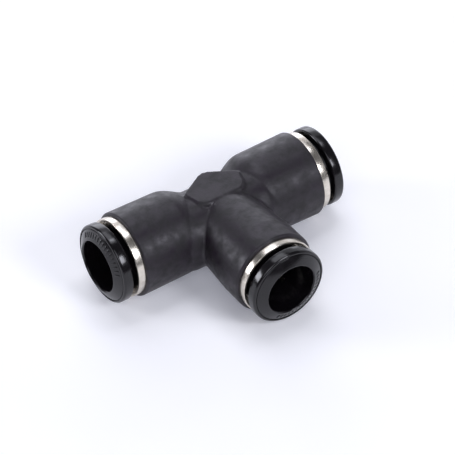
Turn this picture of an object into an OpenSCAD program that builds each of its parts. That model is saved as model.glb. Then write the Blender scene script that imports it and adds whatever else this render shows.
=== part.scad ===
// Push-in union tee: a moulded body with three equal ports, each with its seal, claw,
// plated retaining ring and release sleeve. The run lies along X and the branch along -Y.
// The origin is under the middle of the whole fitting, on the surface that it lies on.

/* [Tube] */
// Outside diameter of the tube that each port takes
tube_d = 12; // [10:0.1:16]
// Radial room between the tube and its socket
tube_room = 0.1; // [0.05:0.01:0.2]
// Diameter of the flow passage along the run
run_flow_d = 9.2; // [6:0.1:11.1]
// Diameter of the flow passage in the branch
branch_flow_d = 9; // [6:0.1:10.9]

/* [Body] */
// Distance from the crossing of the axes to each run mouth
run_mouth = 24.7; // [20.5:0.1:40]
// Distance from the crossing of the axes to the branch mouth
branch_mouth = 24.7; // [20.5:0.1:40]
// Wall of each barrel at its mouth
barrel_wall = 1.45; // [1:0.01:2]
// Radius that each barrel loses from its mouth to its shoulder
barrel_draft = 0.2; // [0.05:0.01:0.5]
// Round-over at each mouth's outer edge
mouth_round = 0.6; // [0.2:0.05:0.8]
// Diameter of the run's waist beside the centre block
waist_d = 14.2; // [12:0.1:17]
// Distance from the centre to where the run's shoulders start to rise
shoulder_start = 3.4; // [2.4:0.1:4.2]
// Distance from the centre to where the run's shoulders reach the barrels
shoulder_end = 11.9; // [9.9:0.1:14.3]
// Diameter of the branch where it leaves the centre
branch_root_d = 17.6; // [15:0.1:19]
// Distance from the centre to where the branch's taper ends
branch_taper_end = 18.5; // [13:0.1:20]

/* [Centre block] */
// Height of the block between its two flat pads
block_h = 18.8; // [18.2:0.1:20]
// Width of the block across its side corners
block_w = 14.6; // [12:0.1:17.5]
// Distance from the run's axis to the block's back corner
block_back = 4.7; // [3.9:0.1:5.7]
// Distance from the run's axis to the block's front edge
block_front = 4.9; // [4:0.1:6]
// Width of the block's front edge
block_front_w = 9.2; // [7.4:0.1:11]
// Rounding of the block's upright corners
block_round = 0.7; // [0.3:0.05:1]

/* [Seal, backup ring and claw] */
// Diameter of the seal ring's round section
seal_section = 2.1; // [1.6:0.05:2.6]
// Radial squeeze of the seal ring on the tube
seal_squeeze = 0.12; // [0.05:0.01:0.15]
// Length of the plain socket between the tube stop and the seal
guide_len = 5.5; // [4:0.1:7]
// Thickness of the backup ring
backup_t = 0.45; // [0.3:0.01:0.8]
// Length of the claw's seat
seat_len = 2; // [1.6:0.05:3]
// Thickness of the claw's spring steel
claw_t = 0.4; // [0.3:0.01:0.5]
// Number of the claw's teeth
claw_teeth = 12; // [8:1:16]
// Gap between two teeth
claw_slot = 0.9; // [0.4:0.05:1.2]
// Distance that the teeth slope inwards along the port
claw_drop = 1.5; // [1.2:0.05:1.7]
// Bite of the teeth's tips into the tube's radius
claw_bite = 0.1; // [0.05:0.01:0.15]

/* [Retaining ring] */
// Ledge in the barrel's bore that the claw's seat rests on
bore_ledge = 0.9; // [0.6:0.02:1.3]
// Length of the skirt that is pressed into the barrel
skirt_len = 4.7; // [4.5:0.1:6]
// Thickness of the lip that holds the sleeve
lip_t = 1.2; // [0.8:0.05:1.4]
// Length of the collar that stands out of the barrel
collar_len = 1.9; // [1.4:0.05:3]
// Wall of the collar
collar_wall = 0.65; // [0.4:0.01:0.8]
// Radius of the collar left short of the barrel's
collar_step = 0.78; // [0.65:0.01:0.9]

/* [Release sleeve] */
// Radial room between the tube and the sleeve's bore
sleeve_room = 0.2; // [0.15:0.01:0.3]
// Wall of the sleeve's hub
sleeve_wall = 1.45; // [1.1:0.01:1.75]
// Radius that the sleeve's hook stands out from its hub
hook_reach = 0.45; // [0.3:0.01:0.55]
// Length of the hook
hook_len = 0.9; // [0.6:0.05:1]
// Travel from rest to fully pressed
travel = 1.2; // [0.8:0.05:1.5]
// Radius that the push flange stands out from the hub
flange_reach = 1.95; // [1.8:0.01:2.2]
// Length of the push flange's rim
rim_len = 2.55; // [2.1:0.05:3.1]
// Rise of the flange's domed face from its rim to its bore
face_rise = 1.18; // [0.9:0.02:1.8]
// Width of the slits that let the hooked end flex
slit_w = 1; // [0.6:0.05:1.5]

/* [Clearances] */
// Radial room between pieces that are pressed or seated together
fit_gap = 0.02; // [0.01:0.005:0.05]
// Room around a piece that slides
slide_gap = 0.1; // [0.08:0.01:0.12]

/* [Hidden] */
$fn = 96;

body_color = "#38373b";
sleeve_color = "#17171a";
nickel_color = "#cfcbc2";
steel_color = "#9a9c9f";
acetal_color = "#29282b";
rubber_color = "#1f1f1f";

// Small sizes of the sleeve: its nose, its rim, the gap that is left when it is fully pressed,
// the groove round its face and the lip at its bore
nose_wall = 0.4;
rim_w = 0.6;
pressed_gap = 0.17;
groove_w = 0.22;
groove_depth = 0.2;
lip_w = 0.18;
lip_drop = 0.06;

// Small sizes of the body: the step at the branch's taper and the block's cut corners
taper_step = 0.05;
back_flat = 0.9;
back_slope = tan(30);
corner_in = 1.2;
corner_back = 1.4;

// Small sizes of the claw and its seat: how much thicker a sloping tooth is along the port, the
// plain band outside its slots, the seat's clear band round the teeth and its inner bevel
tooth_slant = 1.3;
slot_margin = 0.2;
tooth_room = 0.2;
seat_bevel = 0.3;

edge = 0.25;
over = 0.5;

// Radii, from the tube outwards
tube_r = tube_d / 2;
socket_r = tube_r + tube_room;
seal_in_r = tube_r - seal_squeeze;
seal_seat_r = seal_in_r + seal_section + fit_gap;
cartridge_r = seal_seat_r + bore_ledge;
barrel_r = cartridge_r + barrel_wall;
seated_r = cartridge_r - fit_gap;
sleeve_bore_r = tube_r + sleeve_room;
hub_r = sleeve_bore_r + sleeve_wall;
hook_r = hub_r + hook_reach;
flange_r = hub_r + flange_reach;
rim_in_r = flange_r - rim_w;
lip_r = hub_r + slide_gap;
skirt_in_r = hook_r + slide_gap;
collar_r = barrel_r - collar_step;
claw_rim_r = hub_r + slide_gap / 2;
claw_tip_r = tube_r - claw_bite;
nose_r = sleeve_bore_r + nose_wall;

// Heights along a port's axis, from its mouth; outwards is positive
claw_z = -skirt_len;
seat_z = claw_z - claw_t;
backup_z = seat_z - seat_len;
seal_z = backup_z - backup_t;
seal_end_z = seal_z - seal_section - fit_gap;
stop_z = seal_end_z - guide_len;
nose_z = claw_z - claw_drop * (claw_rim_r - nose_r) / (claw_rim_r - claw_tip_r)
       + travel + slide_gap;
hook_z = claw_z + travel + slide_gap;
lip_z = hook_z + hook_len + slide_gap;
rim_z = collar_len + travel + pressed_gap;
face_z = rim_z + rim_len;
front_z = face_z + face_rise;

// The crossing of the axes, seen from the middle of the fitting's underside
axis_y = (branch_mouth + front_z - barrel_r) / 2;
axis_z = max(barrel_r, block_h / 2);

// Turns of each port from the branch's direction, -Y
left_turn = -90;
right_turn = 90;
branch_turn = 0;

// Shared shapes

// Puts a shape that is drawn upwards from a port's mouth in its place
module at_port(turn, mouth) {
    translate([0, axis_y, axis_z]) rotate([90, 0, turn]) translate([0, 0, mouth]) children();
}

module tube_shape(outer_r, inner_r, bottom, top) {
    rotate_extrude() translate([inner_r, bottom]) square([outer_r - inner_r, top - bottom]);
}

function smooth(t) = t * t * (3 - 2 * t);

// Outside of a run barrel, from the crossing to its mouth
module run_barrel() {
    steps = 8;
    root_r = waist_d / 2;
    shoulder_r = barrel_r - barrel_draft;
    rise = shoulder_end - shoulder_start;
    rotate_extrude() polygon(concat(
        [[0, -1], [root_r, -1]],
        [for (i = [0:steps]) [root_r + (shoulder_r - root_r) * smooth(i / steps),
                              shoulder_start + rise * i / steps]],
        [[barrel_r, run_mouth - mouth_round], [barrel_r - mouth_round, run_mouth],
         [0, run_mouth]]));
}

// Outside of the branch barrel, from the crossing to its mouth
module branch_barrel() {
    rotate_extrude() polygon([
        [0, 0], [branch_root_d / 2, 0], [barrel_r - taper_step, branch_taper_end],
        [barrel_r, branch_mouth - mouth_round], [barrel_r - mouth_round, branch_mouth],
        [0, branch_mouth]]);
}

// The block where the three barrels meet, with its flat pads above and below
module centre_block() {
    side = block_w / 2;
    front = block_front_w / 2;
    back_y = block_back - back_flat * back_slope;
    side_y = block_back - side * back_slope;
    corner_y = corner_back - block_front;
    translate([0, 0, -block_h / 2]) linear_extrude(block_h)
        offset(r = block_round, $fn = 32) offset(delta = -block_round)
            polygon([[back_flat, back_y], [side, side_y], [side - corner_in, corner_y],
                     [front, -block_front], [-front, -block_front],
                     [corner_in - side, corner_y], [-side, side_y], [-back_flat, back_y]]);
}

// Stepped bore of one port: cartridge bore, seal seat and tube socket
module port_bore() {
    translate([0, 0, backup_z]) cylinder(r = cartridge_r, h = over - backup_z);
    translate([0, 0, seal_end_z]) cylinder(r = seal_seat_r, h = backup_z - seal_end_z + over);
    translate([0, 0, stop_z]) cylinder(r = socket_r, h = seal_end_z - stop_z + over);
}

// The body and the three ports' pieces

module tee_body() {
    color(body_color) difference() {
        union() {
            for (turn = [left_turn, right_turn]) at_port(turn, 0) run_barrel();
            at_port(branch_turn, 0) branch_barrel();
            translate([0, axis_y, axis_z]) centre_block();
        }
        for (turn = [left_turn, right_turn]) at_port(turn, run_mouth) port_bore();
        at_port(branch_turn, branch_mouth) port_bore();
        at_port(left_turn, -run_mouth) cylinder(d = run_flow_d, h = 2 * run_mouth);
        at_port(branch_turn, 0) cylinder(d = branch_flow_d, h = branch_mouth);
    }
}

module release_sleeve() {
    color(sleeve_color) difference() {
        rotate_extrude() polygon([
            [sleeve_bore_r, nose_z], [nose_r, nose_z],
            [hub_r, min(nose_z + hub_r - nose_r, hook_z)],
            [hook_r, hook_z + edge], [hook_r, hook_z + hook_len],
            [hub_r, hook_z + hook_len], [hub_r, rim_z], [flange_r - edge, rim_z],
            [flange_r, rim_z + 2 * edge], [flange_r, face_z - 3 * edge],
            [flange_r - edge, face_z - edge], [rim_in_r, face_z],
            [rim_in_r - groove_w / 2, face_z - groove_depth], [rim_in_r - groove_w, face_z],
            [sleeve_bore_r + edge, front_z - lip_drop], [sleeve_bore_r + lip_w, front_z],
            [sleeve_bore_r, front_z - 2 * edge]]);
        for (turn = [0, 90])
            rotate(turn) translate([-hook_r - over, -slit_w / 2, nose_z - over])
                cube([2 * (hook_r + over), slit_w, lip_z + lip_t - nose_z + over]);
    }
}

module retaining_ring() {
    color(nickel_color) rotate_extrude() polygon([
        [skirt_in_r, -skirt_len], [seated_r, -skirt_len], [seated_r, 0], [collar_r, 0],
        [collar_r, collar_len - edge], [collar_r - edge / 2, collar_len],
        [collar_r - collar_wall, collar_len], [collar_r - collar_wall, edge],
        [skirt_in_r, edge], [skirt_in_r, lip_z + lip_t], [lip_r, lip_z + lip_t],
        [lip_r, lip_z], [skirt_in_r, lip_z]]);
}

module lock_claw() {
    leaf = claw_t * tooth_slant;
    color(steel_color) difference() {
        rotate_extrude() polygon([
            [seated_r, seat_z], [seated_r, claw_z], [claw_rim_r, claw_z],
            [claw_tip_r, claw_z - claw_drop], [claw_tip_r, claw_z - claw_drop - leaf],
            [claw_rim_r, seat_z]]);
        for (i = [0:claw_teeth - 1])
            rotate(i * 360 / claw_teeth)
                translate([0, -claw_slot / 2, claw_z - claw_drop - leaf - over])
                    cube([claw_rim_r - slot_margin, claw_slot, claw_drop + leaf + 2 * over]);
    }
}

module claw_seat() {
    color(acetal_color) rotate_extrude() polygon([
        [sleeve_bore_r, backup_z], [seated_r, backup_z], [seated_r, seat_z],
        [claw_rim_r + tooth_room, seat_z],
        [sleeve_bore_r + seat_bevel, backup_z + seat_bevel],
        [sleeve_bore_r, backup_z + seat_bevel]]);
}

module backup_ring() {
    color(acetal_color) tube_shape(seal_seat_r - fit_gap, socket_r, seal_z, backup_z);
}

module seal_ring() {
    color(rubber_color) rotate_extrude()
        translate([seal_in_r + seal_section / 2, seal_end_z + fit_gap / 2 + seal_section / 2])
            circle(d = seal_section);
}

module release_sleeve_left() at_port(left_turn, run_mouth) release_sleeve();
module release_sleeve_right() at_port(right_turn, run_mouth) release_sleeve();
module release_sleeve_branch() at_port(branch_turn, branch_mouth) release_sleeve();
module retaining_ring_left() at_port(left_turn, run_mouth) retaining_ring();
module retaining_ring_right() at_port(right_turn, run_mouth) retaining_ring();
module retaining_ring_branch() at_port(branch_turn, branch_mouth) retaining_ring();
module lock_claw_left() at_port(left_turn, run_mouth) lock_claw();
module lock_claw_right() at_port(right_turn, run_mouth) lock_claw();
module lock_claw_branch() at_port(branch_turn, branch_mouth) lock_claw();
module claw_seat_left() at_port(left_turn, run_mouth) claw_seat();
module claw_seat_right() at_port(right_turn, run_mouth) claw_seat();
module claw_seat_branch() at_port(branch_turn, branch_mouth) claw_seat();
module backup_ring_left() at_port(left_turn, run_mouth) backup_ring();
module backup_ring_right() at_port(right_turn, run_mouth) backup_ring();
module backup_ring_branch() at_port(branch_turn, branch_mouth) backup_ring();
module seal_ring_left() at_port(left_turn, run_mouth) seal_ring();
module seal_ring_right() at_port(right_turn, run_mouth) seal_ring();
module seal_ring_branch() at_port(branch_turn, branch_mouth) seal_ring();

tee_body();
release_sleeve_left();
release_sleeve_right();
release_sleeve_branch();
retaining_ring_left();
retaining_ring_right();
retaining_ring_branch();
lock_claw_left();
lock_claw_right();
lock_claw_branch();
claw_seat_left();
claw_seat_right();
claw_seat_branch();
backup_ring_left();
backup_ring_right();
backup_ring_branch();
seal_ring_left();
seal_ring_right();
seal_ring_branch();
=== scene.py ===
import bpy
import math
from mathutils import Matrix, Vector


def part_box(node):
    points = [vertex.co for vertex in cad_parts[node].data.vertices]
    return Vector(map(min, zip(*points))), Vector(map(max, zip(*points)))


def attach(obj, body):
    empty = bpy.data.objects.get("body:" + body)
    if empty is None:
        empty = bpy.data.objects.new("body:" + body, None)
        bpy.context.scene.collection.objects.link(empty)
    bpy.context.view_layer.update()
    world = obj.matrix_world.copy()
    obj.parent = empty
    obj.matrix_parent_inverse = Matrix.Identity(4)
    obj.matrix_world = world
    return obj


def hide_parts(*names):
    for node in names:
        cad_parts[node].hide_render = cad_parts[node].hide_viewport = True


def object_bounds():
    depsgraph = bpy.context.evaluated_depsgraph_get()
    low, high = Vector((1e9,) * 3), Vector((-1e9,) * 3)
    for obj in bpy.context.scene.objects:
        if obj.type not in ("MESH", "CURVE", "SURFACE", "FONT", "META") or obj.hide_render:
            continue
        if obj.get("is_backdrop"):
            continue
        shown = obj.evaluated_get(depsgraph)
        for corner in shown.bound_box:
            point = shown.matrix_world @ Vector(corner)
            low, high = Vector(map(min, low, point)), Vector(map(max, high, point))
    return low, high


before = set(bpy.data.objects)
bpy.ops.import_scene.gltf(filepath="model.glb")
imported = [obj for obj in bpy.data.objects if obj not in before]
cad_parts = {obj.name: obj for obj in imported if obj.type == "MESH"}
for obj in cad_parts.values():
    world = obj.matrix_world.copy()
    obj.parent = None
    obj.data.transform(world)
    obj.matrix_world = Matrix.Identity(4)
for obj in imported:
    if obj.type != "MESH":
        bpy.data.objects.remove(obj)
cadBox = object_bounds()
mm = 0.001
touching = 0.001 * mm   # vertices nearer to each other than this are the same one

# the crossing of the three ports' axes, and how far each mouth lies from it
bodyLow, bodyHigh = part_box("tee_body")
barrelR = (bodyHigh.z - bodyLow.z) / 2
crossing = Vector((0, bodyHigh.y - barrelR, bodyLow.z + barrelR))
runMouth = bodyHigh.x
branchMouth = crossing.y - bodyLow.y

# turn is from the branch's direction, spin is how far its sleeve happens to be turned
ports = {
    "left": {"turn": -90, "mouth": runMouth, "spin": 78},
    "right": {"turn": 90, "mouth": runMouth, "spin": 60},
    "branch": {"turn": 0, "mouth": branchMouth, "spin": -55},
}


def linearColor(hexColor):
    parts = [int(hexColor[i:i + 2], 16) / 255 for i in (0, 2, 4)]
    return tuple(c / 12.92 if c <= 0.04045 else ((c + 0.055) / 1.055) ** 2.4 for c in parts) + (1.0,)


def addNode(tree, kind, settings=None, inputs=None, links=None):
    node = tree.nodes.new(kind)
    for name, value in (settings or {}).items():
        setattr(node, name, value)
    for name, value in (inputs or {}).items():
        node.inputs[name].default_value = value
    for name, source in (links or {}).items():
        tree.links.new(source, node.inputs[name])
    return node


# Each finish has two shades with clouds between them and a grain that lifts the surface.
# Sizes and depths are in mm, and turned says that the grain runs round the piece's own axis.
# They share the noise's detail, and the spans of it that the shades and the gloss change over.
noiseDetail, noiseRoughness = 3.0, 0.55
shadeStops = (0.35, 0.7)
glossFrom, glossTo = 0.3, 0.7
finishes = {
    # glass-filled nylon, injection moulded: charcoal black, satin, faintly cloudy, paler at its edges
    "glassFilledNylon": {
        "dark": "0d070e", "light": "1b101e", "cloud": 2.4, "grain": 0.6, "depth": 0.16, "lift": 0.2,
        "roughness": (0.62, 0.38), "roughFrom": "cloud", "turned": False,
        "shader": {"IOR": 1.53, "Sheen Weight": 0.05, "Sheen Roughness": 0.3}},
    # black acetal from a polished tool: glossy, nearly even, with soft rings from the turned tool
    "polishedAcetal": {
        "dark": "0b090c", "light": "120f13", "cloud": 2.5, "grain": 0.3, "depth": 0.02, "lift": 0.25,
        "roughness": (0.14, 0.2), "roughFrom": "cloud", "turned": True, "shader": {"IOR": 1.48}},
    # bright nickel over turned brass: warm silver, softly mirrored, with fine marks that run round it
    "brightNickel": {
        "dark": "cfc7ba", "light": "e6e0d6", "cloud": 1.5, "grain": 0.11, "depth": 0.01, "lift": 0.3,
        "roughness": (0.18, 0.3), "roughFrom": "grain", "turned": True, "shader": {"Metallic": 1.0}},
    # stamped and hardened spring steel: grey metal with a dull straw tint and a blotchy sheen
    "stampedSteel": {
        "dark": "6f6c66", "light": "94928d", "cloud": 0.8, "grain": 0.12, "depth": 0.01, "lift": 0.3,
        "roughness": (0.3, 0.45), "roughFrom": "cloud", "turned": False, "shader": {"Metallic": 1.0}},
    # plain moulded acetal inside the ports: dark grey, half matt
    "innerAcetal": {
        "dark": "1c1c1e", "light": "2a292c", "cloud": 1.2, "grain": 0.2, "depth": 0.01, "lift": 0.3,
        "roughness": (0.36, 0.46), "roughFrom": "cloud", "turned": False, "shader": {"IOR": 1.48}},
    # compression-moulded nitrile rubber: soot black, matt, with a dry bloom
    "nitrileRubber": {
        "dark": "121212", "light": "1e1e1f", "cloud": 0.9, "grain": 0.12, "depth": 0.02, "lift": 0.3,
        "roughness": (0.58, 0.75), "roughFrom": "cloud", "turned": False, "shader": {"IOR": 1.52}},
    # white acrylic table lit faintly from below: clean matt white, so that shadows stay pale and cool
    "litTable": {
        "dark": "f7f6f6", "light": "fbfaf9", "cloud": 40.0, "grain": 0.4, "depth": 0.02, "lift": 0.2,
        "roughness": (0.66, 0.74), "roughFrom": "cloud", "turned": False,
        "shader": {"Emission Color": linearColor("e8ebff"), "Emission Strength": 0.17}},
}


def finished(name):
    recipe = finishes[name]
    material = bpy.data.materials.new(name)
    material.use_nodes = True
    tree = material.node_tree
    shader = tree.nodes["Principled BSDF"]
    for socket, value in recipe["shader"].items():
        shader.inputs[socket].default_value = value
    where = addNode(tree, "ShaderNodeTexCoord").outputs["Object"]
    around = where
    if recipe["turned"]:
        # radius and height on the piece's own axis
        place = addNode(tree, "ShaderNodeAttribute", {"attribute_name": "portPlace"}).outputs["Vector"]
        split = addNode(tree, "ShaderNodeSeparateXYZ", links={"Vector": place}).outputs
        flat = addNode(tree, "ShaderNodeCombineXYZ", links={"X": split["X"], "Y": split["Y"]})
        across = {"Vector": flat.outputs["Vector"]}
        radius = addNode(tree, "ShaderNodeVectorMath", {"operation": "LENGTH"}, links=across)
        pair = {"X": radius.outputs["Value"], "Y": split["Z"]}
        around = addNode(tree, "ShaderNodeCombineXYZ", links=pair).outputs["Vector"]
    pattern = {}
    for kind, place in (("cloud", where), ("grain", around)):
        settings = {"Scale": 1 / (recipe[kind] * mm), "Detail": noiseDetail, "Roughness": noiseRoughness}
        noise = addNode(tree, "ShaderNodeTexNoise", inputs=settings, links={"Vector": place})
        pattern[kind] = noise.outputs["Fac"]
    ramp = addNode(tree, "ShaderNodeValToRGB", links={"Fac": pattern["cloud"]})
    for stop, place, shade in zip(ramp.color_ramp.elements, shadeStops, ("dark", "light")):
        stop.position = place
        stop.color = linearColor(recipe[shade])
    low, high = recipe["roughness"]
    span = {"From Min": glossFrom, "From Max": glossTo, "To Min": low, "To Max": high}
    gloss = addNode(tree, "ShaderNodeMapRange", inputs=span, links={"Value": pattern[recipe["roughFrom"]]})
    relief = {"Strength": recipe["lift"], "Distance": recipe["depth"] * mm}
    bump = addNode(tree, "ShaderNodeBump", inputs=relief, links={"Height": pattern["grain"]})
    tree.links.new(ramp.outputs["Color"], shader.inputs["Base Color"])
    tree.links.new(gloss.outputs["Result"], shader.inputs["Roughness"])
    tree.links.new(bump.outputs["Normal"], shader.inputs["Normal"])
    return material


materials = {name: finished(name) for name in finishes}
nodeFinishes = {"lock_claw": "stampedSteel", "claw_seat": "innerAcetal", "backup_ring": "innerAcetal",
                "seal_ring": "nitrileRubber"}
print("materials made")


def onlyThis(piece):
    if bpy.context.mode != "OBJECT":
        bpy.ops.object.mode_set(mode="OBJECT")
    bpy.ops.object.select_all(action="DESELECT")
    bpy.context.view_layer.objects.active = piece
    piece.select_set(True)


def pick(piece, kind, test):
    # leaves the piece in edit mode with only what the test picks selected
    onlyThis(piece)
    bpy.ops.object.mode_set(mode="EDIT")
    bpy.ops.mesh.select_mode(type=kind)
    bpy.ops.mesh.select_all(action="DESELECT")
    bpy.ops.object.mode_set(mode="OBJECT")
    parts = {"VERT": piece.data.vertices, "EDGE": piece.data.edges, "FACE": piece.data.polygons}[kind]
    for part in parts:
        part.select = test(part)
    bpy.ops.object.mode_set(mode="EDIT")


def closeUp(piece):
    pick(piece, "VERT", lambda vertex: True)
    bpy.ops.mesh.remove_doubles(threshold=touching)
    bpy.ops.mesh.normals_make_consistent(inside=False)
    bpy.ops.object.mode_set(mode="OBJECT")


roundSteps = 5     # faces round each rounded corner
turnSteps = 144    # faces round each turned piece


def drawOutline(name, corners, upright):
    # corners are (across, up, rounding) in mm, drawn one vertex after another and then rounded
    def spot(corner):
        return Vector((corner[0], 0, corner[1]) if upright else (corner[0], corner[1], 0)) * mm
    bpy.ops.object.select_all(action="DESELECT")
    bpy.ops.mesh.primitive_plane_add(size=mm, location=spot(corners[0]))
    piece = bpy.context.object
    piece.name = name
    bpy.ops.object.transform_apply(location=True)
    pick(piece, "VERT", lambda vertex: True)
    bpy.ops.mesh.merge(type="CENTER")
    for before, after in zip(corners, corners[1:]):
        bpy.ops.mesh.extrude_region_move(TRANSFORM_OT_translate={"value": spot(after) - spot(before)})
    if corners[0][0] > 0 or not upright:   # an outline that starts on the axis is left open there
        ends = (spot(corners[0]), spot(corners[-1]))
        pick(piece, "VERT", lambda vertex: min((vertex.co - end).length for end in ends) < touching)
        bpy.ops.mesh.edge_face_add()
    for corner in corners:
        if corner[2]:
            pick(piece, "VERT", lambda vertex: (vertex.co - spot(corner)).length < touching)
            bpy.ops.mesh.bevel(affect="VERTICES", offset=corner[2] * mm, segments=roundSteps)
    bpy.ops.object.mode_set(mode="OBJECT")
    return piece


def turned(name, corners):
    piece = drawOutline(name, corners, upright=True)
    pick(piece, "VERT", lambda vertex: True)
    bpy.ops.mesh.spin(steps=turnSteps, angle=math.tau, center=(0, 0, 0), axis=(0, 0, 1))
    closeUp(piece)
    return piece


def applied(piece, kind, **settings):
    modifier = piece.modifiers.new(kind, kind)
    for name, value in settings.items():
        setattr(modifier, name, value)
    onlyThis(piece)
    bpy.ops.object.modifier_apply(modifier=modifier.name)


def combined(piece, other, operation):
    applied(piece, "BOOLEAN", operation=operation, solver="EXACT", object=other)
    bpy.data.objects.remove(other)


def joined(pieces):
    onlyThis(pieces[0])
    for piece in pieces[1:]:
        piece.select_set(True)
    bpy.ops.object.join()
    return pieces[0]


def settled(piece):
    onlyThis(piece)
    bpy.ops.object.transform_apply(location=True, rotation=True, scale=True)
    return piece


def atPort(piece, portName, name, spin=0, fromMouth=True):
    # a copy with its own mesh, moved from the Z axis to the port, and its place on that axis remembered
    port = ports[portName]
    copy = piece.copy()
    copy.data = piece.data.copy()
    copy.name = copy.data.name = name
    bpy.context.scene.collection.objects.link(copy)
    places = [value for vertex in copy.data.vertices for value in vertex.co]
    copy.data.attributes.new("portPlace", "FLOAT_VECTOR", "POINT").data.foreach_set("vector", places)
    toPort = Matrix.Rotation(math.radians(port["turn"]), 4, "Z") @ Matrix.Rotation(math.radians(90), 4, "X")
    outwards = Matrix.Translation((0, 0, port["mouth"] if fromMouth else 0))
    spun = Matrix.Rotation(math.radians(spin), 4, "Z")
    copy.matrix_world = Matrix.Translation(crossing) @ toPort @ outwards @ spun
    return settled(copy)


def dressed(piece, finish, body, node, angle=30):
    onlyThis(piece)
    bpy.ops.object.shade_smooth_by_angle(angle=math.radians(angle))
    piece.data.materials.clear()
    piece.data.materials.append(materials[finish])
    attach(piece, body)
    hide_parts(node)


# moulded body, all in mm
tee = {
    "waistR": 7.1, "shoulderStart": 3.4, "shoulderEnd": 11.9, "shoulderSteps": 16, "draft": 0.2,
    "rootR": 8.8, "taperEnd": 18.5, "taperR": 10.3,
    "blockH": 18.8, "backFlat": 0.9, "back": 4.18, "side": 7.3, "sideBack": 0.485, "sideFront": 3.5,
    "sideCut": 6.1, "front": 4.9, "frontHalf": 4.6, "backRound": 0.6, "sideRound": 0.7, "cutRound": 0.5,
    "frontRound": 0.4, "flank": 0.5, "flankSpread": (1.07, 1.06),
    "fillR": 8.9, "fillStraight": 10.0, "fillEndR": 8.2, "fillEnd": 13.0, "fillForward": 1.9,
    "voxel": 0.27, "smoothing": 3, "smoothShare": 0.5, "smoothAngle": 28, "mouthRound": 0.6, "mouthSteps": 6,
    "overlap": 1, "overshoot": 1.5, "clearOut": 2, "clearUp": 3, "stepRound": 0.15, "ledgeRound": 0.1,
    "cartridgeR": 8.9, "cartridgeEnd": 7.1, "leadIn": 0.3, "sealSeatR": 8.0, "sealEnd": 9.67,
    "socketR": 6.1, "socketEnd": 15.17, "runFlowR": 4.6, "branchFlowR": 4.5, "stopRound": 0.3,
    "flowShort": 1,
}


def runBarrel():
    top = barrelR / mm
    # the shoulder swells in an S from the waist to the barrel
    corners = [(0, -tee["overlap"], 0), (tee["waistR"], -tee["overlap"], 0)]
    for i in range(tee["shoulderSteps"] + 1):
        t = i / tee["shoulderSteps"]
        radius = tee["waistR"] + (top - tee["draft"] - tee["waistR"]) * t * t * (3 - 2 * t)
        corners.append((radius, tee["shoulderStart"] + (tee["shoulderEnd"] - tee["shoulderStart"]) * t, 0))
    end = runMouth / mm
    corners += [(top, end, 0), (top, end + tee["overshoot"], 0), (0, end + tee["overshoot"], 0)]
    return turned("runBarrel", corners)


def branchBarrel():
    top, end = barrelR / mm, branchMouth / mm
    return turned("branchBarrel", [
        (0, 0, 0), (tee["rootR"], 0, 0), (tee["taperR"], tee["taperEnd"], 0), (top, end, 0),
        (top, end + tee["overshoot"], 0), (0, end + tee["overshoot"], 0)])


def shoulderFill():
    # thickens the run's shoulders on the branch's side, up to the pads
    return turned("shoulderFill", [
        (0, -tee["overlap"], 0), (tee["fillR"], -tee["overlap"], 0),
        (tee["fillR"], tee["fillStraight"], 0), (tee["fillEndR"], tee["fillEnd"], 0),
        (0, tee["fillEnd"], 0)])


def centreBlock():
    half = [(tee["backFlat"], tee["back"], tee["backRound"]),
            (tee["side"], tee["sideBack"], tee["sideRound"]),
            (tee["sideCut"], -tee["sideFront"], tee["cutRound"]),
            (tee["frontHalf"], -tee["front"], tee["frontRound"])]
    corners = half + [(-x, y, rounding) for x, y, rounding in reversed(half)]
    block = drawOutline("centreBlock", corners, upright=False)
    pick(block, "VERT", lambda vertex: True)
    bpy.ops.mesh.edge_face_add()
    bpy.ops.transform.translate(value=(0, 0, -tee["blockH"] / 2 * mm))
    # the pads' front and side edges slope down into the barrels
    across, along = tee["flankSpread"]
    upright = tee["blockH"] - 2 * tee["flank"]
    for rise, spread in ((tee["flank"], (across, along, 1)), (upright, (1, 1, 1)),
                         (tee["flank"], (1 / across, 1 / along, 1))):
        bpy.ops.mesh.extrude_region_move(TRANSFORM_OT_translate={"value": (0, 0, rise * mm)})
        bpy.ops.transform.resize(value=spread, center_override=(0, tee["back"] * mm, 0))
    closeUp(block)
    block.location = crossing
    return settled(block)


def boreTool(flowR, flowEnd):
    # one tool cuts a port's stepped bore and trims the mouth outside it
    top, lead, edge, step = barrelR / mm, tee["leadIn"], tee["mouthRound"], tee["stepRound"]
    out, above = top + tee["clearOut"], tee["clearUp"]
    start = [(0, -tee["socketEnd"], 0)]
    if flowR:
        start = [(0, -flowEnd, 0), (flowR, -flowEnd, 0), (flowR, -tee["socketEnd"], tee["stopRound"])]
    steps = [(tee["socketR"], -tee["socketEnd"], 0), (tee["socketR"], -tee["sealEnd"], step),
             (tee["sealSeatR"], -tee["sealEnd"], step), (tee["sealSeatR"], -tee["cartridgeEnd"], step),
             (tee["cartridgeR"], -tee["cartridgeEnd"], tee["ledgeRound"]),
             (tee["cartridgeR"], -lead, 0), (tee["cartridgeR"] + lead / 2, 0, 0)]
    angles = [math.radians(90 / tee["mouthSteps"] * i) for i in range(tee["mouthSteps"] + 1)]
    rim = [(top + edge * (math.sin(a) - 1), edge * (math.cos(a) - 1), 0) for a in angles]
    return turned("boreTool", start + steps + rim + [(out, -edge, 0), (out, above, 0), (0, above, 0)])


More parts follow.
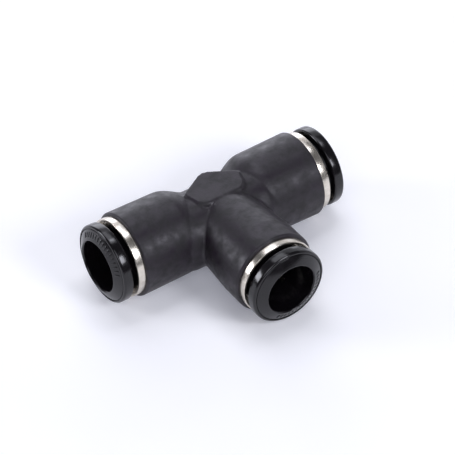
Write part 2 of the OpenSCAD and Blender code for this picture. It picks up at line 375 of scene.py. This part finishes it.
def teeBody():
    run, branch, fill = runBarrel(), branchBarrel(), shoulderFill()
    barrels = {"left": run, "right": run, "branch": branch}
    shell = [atPort(barrel, name, name + "Barrel", fromMouth=False) for name, barrel in barrels.items()]
    for name in ("left", "right"):
        shoulder = atPort(fill, name, name + "Fill", fromMouth=False)
        shoulder.location.y = -tee["fillForward"] * mm
        shell.append(settled(shoulder))
    body = joined([centreBlock()] + shell)
    body.name = body.data.name = "teeBody"
    # the barrels and the block run together, with the small fillets of a mould
    applied(body, "REMESH", mode="VOXEL", voxel_size=tee["voxel"] * mm)
    applied(body, "SMOOTH", factor=tee["smoothShare"], iterations=tee["smoothing"])
    # the tool from the left stops short of the right port's socket, which leaves a wall between them
    throughRun = 2 * runMouth / mm - tee["socketEnd"] - tee["flowShort"]
    bores = {"left": boreTool(tee["runFlowR"], throughRun), "right": boreTool(0, 0),
             "branch": boreTool(tee["branchFlowR"], branchMouth / mm)}
    for name, tool in bores.items():
        combined(body, atPort(tool, name, name + "Tool"), "DIFFERENCE")
    for spare in [run, branch, fill] + list(bores.values()):
        bpy.data.objects.remove(spare)
    print("body has", len(body.data.polygons), "faces")
    dressed(body, "glassFilledNylon", "fitting", "tee_body", tee["smoothAngle"])


teeBody()
print("body made")

# release sleeve on the Z axis with the mouth at 0, all in mm
sleeve = {
    "boreR": 6.2, "noseZ": -4.317, "noseR": 6.6, "hubR": 7.65, "hookZ": -3.4, "hookR": 8.1, "hookLen": 0.9,
    "rimZ": 3.27, "flangeR": 9.6, "faceZ": 5.82, "frontZ": 7.0, "grooveOut": 9.0, "grooveIn": 8.76,
    "grooveDepth": 0.2, "grooveSlope": 0.06, "boreLip": 0.25, "boreDrop": 0.35, "hookSlope": 0.25,
    "slit": 1.0, "slitTop": -1.2, "slitLong": 20, "slitTall": 4, "slitRound": 0.3, "slitSteps": 4,
    "noseRound": 0.08, "noseOutRound": 0.1, "hookRound": 0.08, "hookBackRound": 0.06, "hubRound": 0.05,
    "flangeRoot": 0.25, "flangeBackRound": 0.45, "flangeRound": 0.6, "grooveRound": 0.05,
    "grooveFloorRound": 0.04, "lipRound": 0.16, "boreRound": 0.1,
    "ticks": 17, "tickStep": 7.5, "tickIn": 7.1, "tickOut": 8.3, "tickWide": 0.36, "tickUp": 0.12,
    "tickRound": 0.06, "tickSteps": 2,
}


def sleeveProfile():
    s = sleeve
    hookTop = s["hookZ"] + s["hookLen"]
    lipR = s["boreR"] + s["boreLip"]
    grooveFloor = s["faceZ"] - s["grooveDepth"]
    return [
        (s["boreR"], s["noseZ"], s["noseRound"]), (s["noseR"], s["noseZ"], s["noseOutRound"]),
        (s["hubR"], s["hookZ"], 0), (s["hookR"], s["hookZ"] + s["hookSlope"], s["hookRound"]),
        (s["hookR"], hookTop, s["hookBackRound"]), (s["hubR"], hookTop, s["hubRound"]),
        (s["hubR"], s["rimZ"], s["flangeRoot"]), (s["flangeR"], s["rimZ"], s["flangeBackRound"]),
        (s["flangeR"], s["faceZ"], s["flangeRound"]), (s["grooveOut"], s["faceZ"], s["grooveRound"]),
        (s["grooveOut"] - s["grooveSlope"], grooveFloor, s["grooveFloorRound"]),
        (s["grooveIn"] + s["grooveSlope"], grooveFloor, s["grooveFloorRound"]),
        (s["grooveIn"], s["faceZ"], s["grooveRound"]), (lipR, s["frontZ"], s["lipRound"]),
        (s["boreR"], s["frontZ"] - s["boreDrop"], s["boreRound"])]


def slitTool(turn):
    # a bar across the sleeve's hooked end, with its upper edges rounded
    s = sleeve
    middle = (s["slitTop"] - s["slitTall"] / 2) * mm
    bpy.ops.object.select_all(action="DESELECT")
    bpy.ops.mesh.primitive_cube_add(
        size=mm, location=(0, 0, middle), scale=(s["slitLong"], s["slit"], s["slitTall"]),
        rotation=(0, 0, math.radians(turn)))
    bar = settled(bpy.context.object)
    corners = bar.data.vertices
    pick(bar, "EDGE", lambda edge: all(corners[v].co.z > middle for v in edge.vertices))
    bpy.ops.mesh.bevel(offset=s["slitRound"] * mm, segments=s["slitSteps"])
    bpy.ops.object.mode_set(mode="OBJECT")
    return bar


def raisedTick(number, faceSlope):
    s = sleeve
    middle = (s["tickIn"] + s["tickOut"]) / 2
    turn = math.radians((number - (s["ticks"] - 1) / 2) * s["tickStep"])
    height = s["faceZ"] + (s["grooveIn"] - middle) * faceSlope
    bpy.ops.object.select_all(action="DESELECT")
    bpy.ops.mesh.primitive_cube_add(
        size=mm, location=Vector((middle * math.cos(turn), middle * math.sin(turn), height)) * mm,
        rotation=(0, math.atan(faceSlope), turn),
        scale=(s["tickOut"] - s["tickIn"], s["tickWide"], 2 * s["tickUp"]))
    tick = settled(bpy.context.object)
    pick(tick, "EDGE", lambda edge: True)
    bpy.ops.mesh.bevel(offset=s["tickRound"] * mm, segments=s["tickSteps"])
    bpy.ops.object.mode_set(mode="OBJECT")
    return tick


def sleeveShape():
    s = sleeve
    faceSlope = (s["frontZ"] - s["faceZ"]) / (s["grooveIn"] - s["boreR"] - s["boreLip"])
    shape = turned("releaseSleeve", sleeveProfile())
    for turn in (0, 90):
        combined(shape, slitTool(turn), "DIFFERENCE")
    # plain raised marks round the face
    combined(shape, joined([raisedTick(i, faceSlope) for i in range(s["ticks"])]), "UNION")
    return shape


# plated retaining ring, all in mm
ring = {
    "skirtIn": 8.2, "skirtOut": 8.88, "skirtEnd": -4.7, "collarR": 9.57, "collarLen": 1.9, "wall": 0.65,
    "floor": 0.25, "lipIn": 7.75, "lipTop": -1.2, "lipBottom": -2.4,
    "edgeRound": 0.08, "skirtRound": 0.15, "collarRound": 0.16, "cupRound": 0.12, "innerRound": 0.1,
}


def ringShape():
    r = ring
    cup, edge, inner = r["collarR"] - r["wall"], r["edgeRound"], r["innerRound"]
    return turned("retainingRing", [
        (r["skirtIn"], r["skirtEnd"], edge), (r["skirtOut"], r["skirtEnd"], r["skirtRound"]),
        (r["skirtOut"], 0, 0), (r["collarR"], 0, edge),
        (r["collarR"], r["collarLen"], r["collarRound"]), (cup, r["collarLen"], r["cupRound"]),
        (cup, r["floor"], inner), (r["skirtIn"], r["floor"], edge), (r["skirtIn"], r["lipTop"], inner),
        (r["lipIn"], r["lipTop"], inner), (r["lipIn"], r["lipBottom"], inner),
        (r["skirtIn"], r["lipBottom"], inner)])


sleevePiece, ringPiece = sleeveShape(), ringShape()
for name, port in ports.items():
    dressed(atPort(sleevePiece, name, name + "ReleaseSleeve", port["spin"]), "polishedAcetal",
            name + "_sleeve", "release_sleeve_" + name)
    dressed(atPort(ringPiece, name, name + "RetainingRing"), "brightNickel",
            "fitting", "retaining_ring_" + name)
bpy.data.objects.remove(sleevePiece)
bpy.data.objects.remove(ringPiece)
print("sleeves and rings made")

for name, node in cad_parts.items():
    kind = name.rsplit("_", 1)[0]
    if kind in nodeFinishes:
        node.data.materials.clear()
        node.data.materials.append(materials[nodeFinishes[kind]])
    elif not node.hide_render:
        raise SystemExit("no finish for " + name)
print("inner pieces dressed")

# floor, lights and camera
floorSize = 3.0   # metres
lightColor, skyColor, skyStrength = "f3f5ff", "f2f3fa", 0.12
bpy.ops.object.select_all(action="DESELECT")
bpy.ops.mesh.primitive_plane_add(size=floorSize, location=(0, 0, 0))
floor = bpy.context.object
floor.name = "floor"
floor.data.materials.append(materials["litTable"])
floor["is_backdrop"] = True

# each light panel: its middle, what it faces, its width and height in metres, its power in watts
softboxes = {
    "overhead": {"place": (0.057, 0.21, 0.5), "aim": (0.057, 0.21, 0), "size": (0.335, 0.44), "power": 1.02},
    "overheadLamp": {
        "place": (0.16, 0.07, 0.49), "aim": (0.16, 0.07, 0), "size": (0.12, 0.06), "power": 0.11},
    "rightFront": {
        "place": (0.125, -0.41, 0.317), "aim": (0, 0, 0.01), "size": (0.17, 0.17), "power": 1.09},
    "leftBack": {"place": (-0.411, 0.321, 0.172), "aim": (0, 0, 0.01), "size": (0.17, 0.17), "power": 1.0},
    "backdrop": {"place": (0.65, 0.8, 0.5), "aim": (0.65, 0, 0.5), "size": (1.1, 1.1), "power": 2.7},
    "horizon": {"place": (0.42, 0.79, 0.22), "aim": (0.42, 0, 0.22), "size": (1.0, 0.44), "power": 2.9},
    "rightSide": {"place": (1.15, 0.2, 0.36), "aim": (0, 0.2, 0.36), "size": (1.2, 0.7), "power": 1.85},
    "fill": {"place": (-0.46, -0.54, 0.62), "aim": (0, 0, 0), "size": (0.6, 0.5), "power": 2.3},
}
for name, box in softboxes.items():
    light = bpy.data.lights.new(name, "AREA")
    light.shape = "RECTANGLE"
    light.size, light.size_y = box["size"]
    light.energy = box["power"]
    light.color = linearColor(lightColor)[:3]
    lamp = bpy.data.objects.new(name, light)
    lamp.location = box["place"]
    lamp.rotation_euler = (Vector(box["place"]) - Vector(box["aim"])).to_track_quat("Z", "Y").to_euler()
    bpy.context.scene.collection.objects.link(lamp)

world = bpy.data.worlds.new("studio")
bpy.context.scene.world = world
world.use_nodes = True
world.node_tree.nodes["Background"].inputs["Color"].default_value = linearColor(skyColor)
world.node_tree.nodes["Background"].inputs["Strength"].default_value = skyStrength
bpy.context.scene.view_settings.view_transform = "Standard"

# angles in degrees, distance and near clip in metres, across, up, lens and sensor in mm
view = {"azimuth": -34.03, "elevation": 41.79, "roll": -0.73, "distance": 0.94, "near": 0.01,
        "across": 3.437, "up": -3.226, "lens": 322.9, "sensor": 36}
azimuth, elevation, roll = (math.radians(view[key]) for key in ("azimuth", "elevation", "roll"))
level = Vector((math.cos(azimuth), math.sin(azimuth), 0))
away = Vector((math.sin(azimuth), -math.cos(azimuth), 0))
back = away * math.cos(elevation) + Vector((0, 0, math.sin(elevation)))
right = level * math.cos(roll) + back.cross(level) * math.sin(roll)
up = back.cross(right)
place = crossing + back * view["distance"] + right * view["across"] * mm + up * view["up"] * mm
cameraData = bpy.data.cameras.new("camera")
cameraData.lens = view["lens"]
cameraData.sensor_width = view["sensor"]
cameraData.clip_start = view["near"]
camera = bpy.data.objects.new("camera", cameraData)
bpy.context.scene.collection.objects.link(camera)
camera.matrix_world = Matrix((right, up, back)).transposed().to_4x4()
camera.location = place
bpy.context.scene.camera = camera
print("studio ready")

sizes = {name: [list(corner) for corner in box] for name, box in (("cad", cadBox), ("visual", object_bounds()))}
